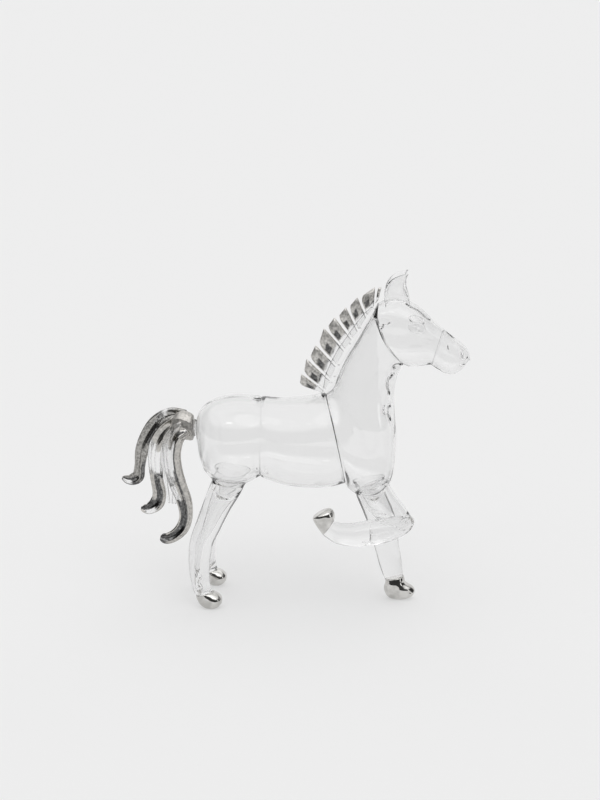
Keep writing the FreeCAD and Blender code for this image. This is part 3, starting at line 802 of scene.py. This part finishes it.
LOCKS = {
    "tail_lock_far": [
        (-45.6, 3.6, 77.0, 3.0, 2.0, 0), (-52.0, 4.6, 77.0, 3.6, 1.9, 4), (-58.0, 5.2, 73.4, 3.6, 1.8, 10),
        (-62.0, 5.8, 67.6, 3.4, 1.7, 14), (-64.6, 6.0, 61.4, 3.0, 1.6, 14), (-65.6, 6.0, 55.0, 2.3, 1.5, 8),
        (-66.4, 6.0, 50.4, 2.6, 1.4, 0), (-68.4, 6.0, 48.9, 2.6, 1.4, 0), (-70.6, 6.0, 48.6, 2.0, 1.3, 0),
        (-72.4, 6.0, 49.2, 1.3, 1.0, 0), (-73.2, 6.0, 49.6, 0.5, 0.5, 0),
    ],
    "tail_lock_middle": [
        (-45.6, 1.0, 76.0, 3.4, 2.0, -4), (-51.6, 1.6, 73.2, 3.6, 1.9, 4), (-56.4, 1.8, 67.6, 3.4, 1.8, 14),
        (-58.4, 2.0, 60.0, 3.3, 1.7, 14), (-58.0, 2.0, 51.0, 2.8, 1.6, 8), (-57.0, 2.0, 44.0, 2.9, 1.5, 0),
        (-58.2, 2.0, 39.8, 3.1, 1.5, 0), (-61.2, 2.0, 37.4, 2.5, 1.4, 0), (-63.6, 2.0, 37.2, 1.8, 1.2, 0),
        (-64.9, 2.0, 37.4, 0.7, 0.6, 0),
    ],
    "tail_lock_inner": [
        (-45.8, -1.2, 74.6, 3.2, 1.7, 0), (-50.8, -1.5, 70.0, 3.3, 1.6, 8), (-52.6, -1.5, 62.0, 3.0, 1.5, 12),
        (-51.8, -1.4, 54.0, 2.9, 1.4, 8), (-51.0, -1.3, 46.6, 2.7, 1.3, 0), (-51.2, -1.2, 41.0, 1.8, 0.9, 0),
    ],
    "tail_lock_near": [
        (-44.8, -3.6, 74.4, 3.8, 2.2, -8), (-48.8, -4.6, 71.0, 4.0, 2.2, 0),
        (-50.4, -4.9, 64.6, 3.9, 2.0, 12), (-50.0, -5.0, 57.4, 4.0, 1.9, 16),
        (-47.9, -5.0, 49.6, 3.7, 1.9, 12), (-45.6, -5.0, 43.0, 3.3, 1.8, 6),
        (-45.0, -5.0, 36.8, 2.8, 1.7, 0), (-46.4, -5.0, 31.8, 2.8, 1.6, 0), (-49.4, -5.0, 28.4, 2.6, 1.5, 0),
        (-52.8, -5.0, 26.7, 2.4, 1.6, 0), (-55.0, -5.0, 26.9, 1.9, 1.4, 0), (-55.9, -5.0, 27.1, 0.9, 0.8, 0),
    ],
}
LOCK_POINTS = 72      # points round a lock
LOCK_STEPS = 10       # rings to each span of it
STRAP, STRAP_CORNER = 0.62, 0.75    # the depth of its flat, as a share, and how square its edges are
UPPER_ROLL, LOWER_ROLL = (0.42, 0.86, 0.16), (0.30, -0.88, 0.14)    # its rolled edges: height, lane, width
HOLLOW = (0.30, 0.25, 0.40)         # the same of the hollow down its face
RIDGE, RIDGE_LANE, RIDGE_SPAN = 0.40, -0.42, 0.5

ROOT_FLUTES = 11
FLUTE, FLUTE_TWIST, FLUTE_CORNER = 0.05, 0.05, 0.7   # depth as a share, turn to a millimetre, and sharpness
ROOT_WIDE = 0.82      # the knob's width as a share of its height
ROOT = [
    (-42.0, 73.6, 5.0), (-42.3, 73.7, 5.5), (-43.2, 73.9, 5.9), (-45.0, 74.3, 6.1), (-47.2, 74.4, 6.1),
    (-49.2, 74.0, 5.4), (-50.6, 73.6, 4.0), (-51.2, 73.4, 1.6),
]
STUB = [
    (-36.0, 0, 73.5, 3.6, 3.4), (-39.4, 0, 73.4, 3.6, 3.4), (-40.8, 0, 73.3, 3.4, 3.2),
    (-41.9, 0, 73.4, 3.7, 3.5),
]


def hump(lane, high, at, wide):
    """A smooth rise along a lock, centred on one lane."""
    return high * math.exp(-((lane - at) / wide) ** 2)


def strap_depth(lane):
    """How deep a lock is at a lane: rolled at its edges, and with a ridge and a hollow on its face."""
    rolled = hump(lane, *UPPER_ROLL) + hump(lane, *LOWER_ROLL)
    ridge = RIDGE * max(1 - abs(lane - RIDGE_LANE) / RIDGE_SPAN, 0.0)
    return STRAP + rolled + ridge - hump(lane, *HOLLOW)


def lock_rings(stations):
    """Rings along a flat drawn lock of glass: (x, y, z, half-height, half-width, twist)."""
    rings = []
    for point, up, side, (high, wide, twist) in places_along(stations, LOCK_STEPS):
        turn = math.radians(twist)
        up, side = up * math.cos(turn) + side * math.sin(turn), side * math.cos(turn) - up * math.sin(turn)
        ring = []
        for k in range(LOCK_POINTS):
            a = 2 * math.pi * k / LOCK_POINTS
            lane = math.cos(a)
            depth = power(math.sin(a), STRAP_CORNER) * strap_depth(lane)
            ring.append(point + up * lane * high + side * depth * wide)
        rings.append(ring)
    return rings


def tail_root_rings():
    """The gathered end of the tail: a short fluted knob, flat where it meets the stub."""
    rings = []
    for x, z, reach in glide(ROOT, 5):
        ring = []
        for k in range(AROUND):
            a = 2 * math.pi * k / AROUND
            wave = abs(math.sin(ROOT_FLUTES * (a + FLUTE_TWIST * (x - ROOT[0][0])) / 2))
            flute = 1 - FLUTE * wave ** FLUTE_CORNER
            ring.append(Vector((x, ROOT_WIDE * reach * flute * math.sin(a), z + reach * flute * math.cos(a))))
        rings.append(ring)
    return rings


def make_tail(pieces):
    rings = tail_root_rings()
    root = marked(solid("tail_root_silver", rings), rings)
    pieces["tail_root"] = root
    stub = trimmed(along(STUB, 6), tree(pieces["hindquarters"]))
    pieces["tail_stub"] = solid("tail_stub_glass", stub)
    surface = tree(root)
    for node, stations in LOCKS.items():
        rings = trimmed(lock_rings(stations), surface)
        pieces[node] = marked(solid(f"{node}_silver", rings), rings)


# ---- materials ---------------------------------------------------------------

class Graph:
    """A tree of shader nodes, with short ways to add the ones used here."""

    def __init__(self, owner):
        owner.use_nodes = True
        self.nodes, self.links = owner.node_tree.nodes, owner.node_tree.links
        self.place = self.nodes.new("ShaderNodeTexCoord")

    def feed(self, socket, value):
        """Sets a socket to a number, or links a node's output to it."""
        if isinstance(value, (int, float)):
            socket.default_value = value
        else:
            self.links.new(value, socket)

    def math(self, kind, a, b=0.0):
        node = self.nodes.new("ShaderNodeMath")
        node.operation = kind
        self.feed(node.inputs[0], a)
        self.feed(node.inputs[1], b)
        return node.outputs[0]

    def rise(self, value, low, high):
        """0 below low, 1 above high, and smooth between them."""
        node = self.nodes.new("ShaderNodeMapRange")
        node.interpolation_type = "SMOOTHSTEP"
        node.inputs["From Min"].default_value = low
        node.inputs["From Max"].default_value = high
        self.links.new(value, node.inputs["Value"])
        return node.outputs["Result"]

    def noise(self, scale, detail):
        node = self.nodes.new("ShaderNodeTexNoise")
        node.inputs["Scale"].default_value = scale
        node.inputs["Detail"].default_value = detail
        self.links.new(self.place.outputs["Object"], node.inputs["Vector"])
        return node.outputs["Fac"]

    def mark(self, name):
        """A number kept at each point of the piece."""
        node = self.nodes.new("ShaderNodeAttribute")
        node.attribute_name = name
        return node.outputs["Fac"]

    def shades(self, value, stops):
        """A colour for each value, from a list of (value, colour)."""
        ramp = self.nodes.new("ShaderNodeValToRGB")
        elements = ramp.color_ramp.elements
        while len(elements) < len(stops):
            elements.new(0.5)
        for element, (position, colour) in zip(elements, stops):
            element.position = position
            element.color = (*colour, 1)
        self.links.new(value, ramp.inputs["Fac"])
        return ramp.outputs["Color"]

    def blend(self, share, first, second):
        """Two colours mixed: all second where the share is 1."""
        node = self.nodes.new("ShaderNodeMix")
        node.data_type = "RGBA"
        self.links.new(share, node.inputs["Factor"])
        for socket, colour in ((node.inputs[6], first), (node.inputs[7], second)):
            if isinstance(colour, tuple):
                socket.default_value = (*colour, 1)
            else:
                self.links.new(colour, socket)
        return node.outputs[2]

    def bump(self, height, strength, distance):
        node = self.nodes.new("ShaderNodeBump")
        node.inputs["Strength"].default_value = strength
        node.inputs["Distance"].default_value = distance
        self.links.new(height, node.inputs["Height"])
        return node.outputs["Normal"]


def new_material(name):
    """A node material, with its graph and its shader."""
    material = bpy.data.materials.new(name)
    graph = Graph(material)
    return material, graph, graph.nodes["Principled BSDF"]


def grey(shade):
    return (shade, shade, shade)


GLASS_INDEX = 1.47
GLASS_SHADE = grey(0.975)
# the glass's colour by how squarely it is seen: a faint grey tint straight on, then painted shade towards
# edges seen edge-on
TINT_AND_PAINTED_EDGE_SHADE = ((0.0, grey(0.965)), (0.80, grey(0.94)), (0.93, grey(0.62)), (1.0, grey(0.16)))
HOOF_FILM = ((0.36, (0.55, 0.54, 0.52)), (0.62, (0.74, 0.73, 0.71)))
# dark film: random blotches of thick lustre, and painted reflection of the dark room in the dark patches
DARK_FILM_AND_PAINTED_REFLECTION = ((0.34, grey(0.06)), (0.54, grey(0.14)), (0.74, grey(0.34)))
SPREAD = 0.13         # how unevenly the lustre's edges were brushed
FROST = 0.25          # roughness of the glass that the brush left bare
BRUSHED_EDGE = {"way": 0.025, "lane": 0.05}    # half the width over which it fades there
BLOTCH = (0.60, 0.68)   # the stretch of the noise over which a blotch of lustre thickens


def clear_glass():
    """Fire-polished glass, with the slow ripple of hot work in its surface. Its colour is a faint grey tint,
    with painted shade where its surface is seen edge-on.
    """
    material, graph, shader = new_material("clear_glass")
    # painted shade: the colour darkens where the surface is seen edge-on, for dark outlines
    rim = graph.nodes.new("ShaderNodeLayerWeight")
    rim.inputs["Blend"].default_value = 0.5
    graph.links.new(graph.shades(rim.outputs["Facing"], TINT_AND_PAINTED_EDGE_SHADE), shader.inputs["Base Color"])
    shader.inputs["Transmission Weight"].default_value = 1.0
    shader.inputs["Roughness"].default_value = 0.0
    shader.inputs["IOR"].default_value = GLASS_INDEX
    graph.links.new(graph.bump(graph.noise(90.0, 1.0), 0.25, 0.0004), shader.inputs["Normal"])
    return material


def hoof_silver():
    """Fired metallic lustre, thick and even: a warm mirror."""
    material, graph, shader = new_material("hoof_silver")
    shader.inputs["Metallic"].default_value = 1.0
    mottle = graph.noise(260.0, 5.0)
    graph.links.new(graph.shades(mottle, HOOF_FILM), shader.inputs["Base Color"])
    graph.links.new(graph.math("MULTIPLY", mottle, 0.10), shader.inputs["Roughness"])
    graph.links.new(graph.bump(mottle, 0.2, 0.0003), shader.inputs["Normal"])
    return material


def brushed(graph, patch, wander):
    """Inside a patch of a piece (first way, last way, first lane, last lane), with an uneven edge."""
    inside = None
    for name, low, high in (("way", *patch[:2]), ("lane", *patch[2:])):
        place = graph.math("ADD", graph.mark(name), graph.math("MULTIPLY", wander, SPREAD))
        soft = BRUSHED_EDGE[name]
        short = graph.math("SUBTRACT", 1.0, graph.rise(place, high - soft, high + soft))
        over = graph.math("MULTIPLY", graph.rise(place, low - soft, low + soft), short)
        inside = over if inside is None else graph.math("MULTIPLY", inside, over)
    return inside


def brushed_silver(name, film, bare=(), dark=(), blotches=0.0, soft=0.0):
    """Lustre brushed thinly on clear glass: none in the bare patches, and dark in the dark ones, which are
    painted reflection of the dark room. A soft one blurs what it mirrors."""
    material, graph, shader = new_material(name)
    wander = graph.math("SUBTRACT", graph.noise(420.0, 4.0), 0.5)
    grain = graph.noise(1100.0, 3.0)
    # the share of dark film: random blotches of thicker lustre, then the dark patches, which are painted
    # reflection
    thick = graph.math("MULTIPLY", graph.rise(graph.noise(230.0, 2.0), *BLOTCH), blotches)
    for patch in dark:
        thick = graph.math("MAXIMUM", thick, brushed(graph, patch, wander))
    clear = 0.0
    for patch in bare:
        clear = graph.math("MAXIMUM", clear, brushed(graph, patch, wander))
    thin_film = graph.shades(grain, ((0.35, film[0]), (0.60, film[1])))
    dark_film_and_painted_reflection = graph.shades(grain, DARK_FILM_AND_PAINTED_REFLECTION)
    roughness = graph.math("ADD", graph.math("MULTIPLY", grain, 0.30), soft)
    colour = graph.blend(thick, thin_film, dark_film_and_painted_reflection)
    if bare:
        colour = graph.blend(clear, colour, GLASS_SHADE)
        coated = graph.math("SUBTRACT", 1.0, clear)
        frosted = graph.math("MULTIPLY", clear, FROST)
        roughness = graph.math("ADD", graph.math("MULTIPLY", roughness, coated), frosted)
        graph.links.new(coated, shader.inputs["Metallic"])
        shader.inputs["Transmission Weight"].default_value = 1.0
        shader.inputs["IOR"].default_value = GLASS_INDEX
    else:
        shader.inputs["Metallic"].default_value = 1.0
    graph.links.new(colour, shader.inputs["Base Color"])
    graph.links.new(roughness, shader.inputs["Roughness"])
    graph.links.new(graph.bump(grain, 0.25, 0.0002), shader.inputs["Normal"])
    return material


PALE_FILM = ((0.42, 0.41, 0.39), (0.62, 0.60, 0.57))
GREY_FILM = ((0.22, 0.215, 0.205), (0.46, 0.45, 0.43))
# each lock's dark patches are painted reflection of the dark room; its bare patches are unpainted glass
TAIL_COATS = {
    "tail_root": dict(film=PALE_FILM, soft=0.25),
    "tail_lock_far": dict(
        film=GREY_FILM, bare=[(0.09, 0.15, -1.2, 1.2), (0.72, 0.92, -0.75, 0.0)],
        dark=[(0.15, 0.26, -1.2, -0.35), (0.42, 0.60, -1.2, -0.45), (0.62, 1.1, -1.2, 0.4)],
    ),
    "tail_lock_middle": dict(
        film=PALE_FILM, bare=[(0.19, 0.36, -1.2, 1.2), (0.68, 0.84, -0.85, -0.1)],
        dark=[(0.36, 0.66, -0.55, 0.35), (0.60, 1.1, -0.2, 0.9)],
    ),
    "tail_lock_inner": dict(film=PALE_FILM, bare=[(0.16, 1.1, -1.2, 1.2)]),
    "tail_lock_near": dict(
        film=PALE_FILM, bare=[(0.03, 0.29, -0.25, 1.2), (0.31, 0.42, 0.30, 1.2)],
        dark=[(0.14, 0.42, -0.45, -0.1), (0.29, 0.32, -0.2, 1.2), (0.42, 1.1, -0.35, 0.70),
              (0.84, 1.1, -1.2, 1.2)],
    ),
}
# the mane's dark patch is painted reflection of the dark room
MANE_COAT = dict(film=((0.50, 0.49, 0.465), (0.82, 0.80, 0.77)), bare=[(-0.1, 0.42, -1.2, 1.2)],
                 dark=[(0.44, 0.60, -0.75, 0.05)], blotches=0.35, soft=0.28)


def dress(pieces):
    glass = clear_glass()
    hooves = hoof_silver()
    mane = brushed_silver("mane_silver", **MANE_COAT)
    for node, piece in pieces.items():
        slot = "silver_lustre"
        if node.startswith("hoof"):
            finish = hooves
        elif node.startswith("mane_lobe"):
            finish = mane
        elif node in TAIL_COATS:
            finish = brushed_silver(f"{node}_silver", **TAIL_COATS[node])
        else:
            finish, slot = glass, "clear_glass"
        piece.data.materials.append(finish)
        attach(piece, "root")
        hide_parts(node)


# ---- stage -------------------------------------------------------------------

FLOOR_HALF = 20.0     # metres
FLOOR_SHADE = 0.42
FLOOR_GLOW = 0.46     # the sheet is lit a little from below, so that shadows stay faint


def make_floor():
    half = FLOOR_HALF
    corners = [(-half, -half, 0), (half, -half, 0), (half, half, 0), (-half, half, 0)]
    mesh = bpy.data.meshes.new("floor")
    mesh.from_pydata(corners, [], [(0, 1, 2, 3)])
    floor = bpy.data.objects.new("floor", mesh)
    bpy.context.scene.collection.objects.link(floor)
    material, _, shader = new_material("floor_sheet")
    shader.inputs["Base Color"].default_value = (*grey(FLOOR_SHADE), 1)
    shader.inputs["Emission Color"].default_value = (1, 1, 1, 1)
    shader.inputs["Emission Strength"].default_value = FLOOR_GLOW
    shader.inputs["Roughness"].default_value = 0.9
    shader.inputs["Specular IOR Level"].default_value = 0.0
    mesh.materials.append(material)


class Sky(Graph):
    """Light from all round, worked out from the direction alone."""

    def __init__(self, name):
        world = bpy.data.worlds.new(name)
        bpy.context.scene.world = world
        super().__init__(world)

    def along(self, direction):
        """How far the view looks along a direction, from -1 to 1."""
        node = self.nodes.new("ShaderNodeVectorMath")
        node.operation = "DOT_PRODUCT"
        node.inputs[1].default_value = Vector(direction).normalized()
        self.links.new(self.place.outputs["Generated"], node.inputs[0])
        return node.outputs["Value"]

    def softbox(self, centre, half_width, half_height, edge=0.04):
        """A lit rectangle in that direction, with its lower edge level."""
        centre = Vector(centre).normalized()
        right = centre.cross(Vector((0, 0, 1))).normalized()
        up = right.cross(centre)
        lit = self.rise(self.along(centre), 0.2, 0.3)
        for axis, half in ((right, half_width), (up, half_height)):
            outside = self.rise(self.math("ABSOLUTE", self.along(axis)), half - edge, half + edge)
            lit = self.math("MULTIPLY", lit, self.math("SUBTRACT", 1.0, outside))
        return lit


ROOM = 0.05           # the dark room at the sides and in front
OVERHEAD, BEHIND = 1.20, 0.86   # strengths of the wide light overhead and the white sweep behind
SOFTBOXES = (         # direction, half-width, half-height, strength
    ((-0.30, -0.63, 0.69), 0.12, 0.055, 3.6),
    ((0.35, -0.70, 0.62), 0.20, 0.10, 1.6),
    ((0.92, -0.50, 0.30), 0.08, 0.22, 1.6),
)


def make_world():
    """A white sweep behind and a wide light overhead, with darker room at the sides and in front."""
    sky = Sky("studio")
    overhead = sky.rise(sky.along((0, -0.12, 1)), 0.50, 0.72)
    behind = sky.rise(sky.along((0, 1, 0)), 0.35, 0.70)
    light = sky.math("MAXIMUM", sky.math("MULTIPLY", overhead, OVERHEAD), ROOM)
    light = sky.math("MAXIMUM", light, sky.math("MULTIPLY", behind, BEHIND))
    for centre, half_width, half_height, strength in SOFTBOXES:
        glow = sky.math("MULTIPLY", sky.softbox(centre, half_width, half_height), strength)
        light = sky.math("MAXIMUM", light, glow)
    background = sky.nodes["Background"]
    sky.links.new(light, background.inputs["Strength"])
    background.inputs["Color"].default_value = (1, 1, 1, 1)


def make_sun():
    """A weak wide sun from in front, so that what little shadow there is falls behind."""
    sun = bpy.data.lights.new("overhead", "SUN")
    sun.energy = 0.18
    sun.angle = math.radians(40)
    lamp = bpy.data.objects.new("overhead", sun)
    lamp.rotation_euler = (math.radians(32), math.radians(12), 0)
    bpy.context.scene.collection.objects.link(lamp)


AZIMUTH, ELEVATION = math.radians(4.0), math.radians(14.5)
DISTANCE = 0.775      # metres from the camera to what it looks at
AIM = Vector((2.8, 0.0, 15.7))   # that place, from the middle of the horse
FOCAL_LENGTH, SENSOR = 85.0, 36.0


def make_camera():
    low, high = CAD_BOX
    target = (Vector(low) + Vector(high)) / 2 + AIM * MM
    level = Vector((math.sin(AZIMUTH), -math.cos(AZIMUTH), 0.0))
    away = level * math.cos(ELEVATION) + Vector((0, 0, math.sin(ELEVATION)))
    lens = bpy.data.cameras.new("camera")
    lens.lens = FOCAL_LENGTH
    lens.sensor_width = SENSOR
    camera = bpy.data.objects.new("camera", lens)
    camera.location = target + away * DISTANCE
    camera.rotation_euler = (-away).to_track_quat("-Z", "Y").to_euler()
    bpy.context.scene.collection.objects.link(camera)
    bpy.context.scene.camera = camera


def make_all():
    pieces = {}
    make_trunk(pieces)
    make_head(pieces)
    make_hind_legs(pieces)
    make_forelegs(pieces)
    make_face(pieces)
    make_mane(pieces)
    make_tail(pieces)
    dress(pieces)
    make_floor()
    make_world()
    make_sun()
    make_camera()
    scene = bpy.context.scene
    scene.view_settings.view_transform = "Standard"
    scene.cycles.max_bounces = 40
    scene.cycles.transmission_bounces = 40
    scene.cycles.glossy_bounces = 12


make_all()
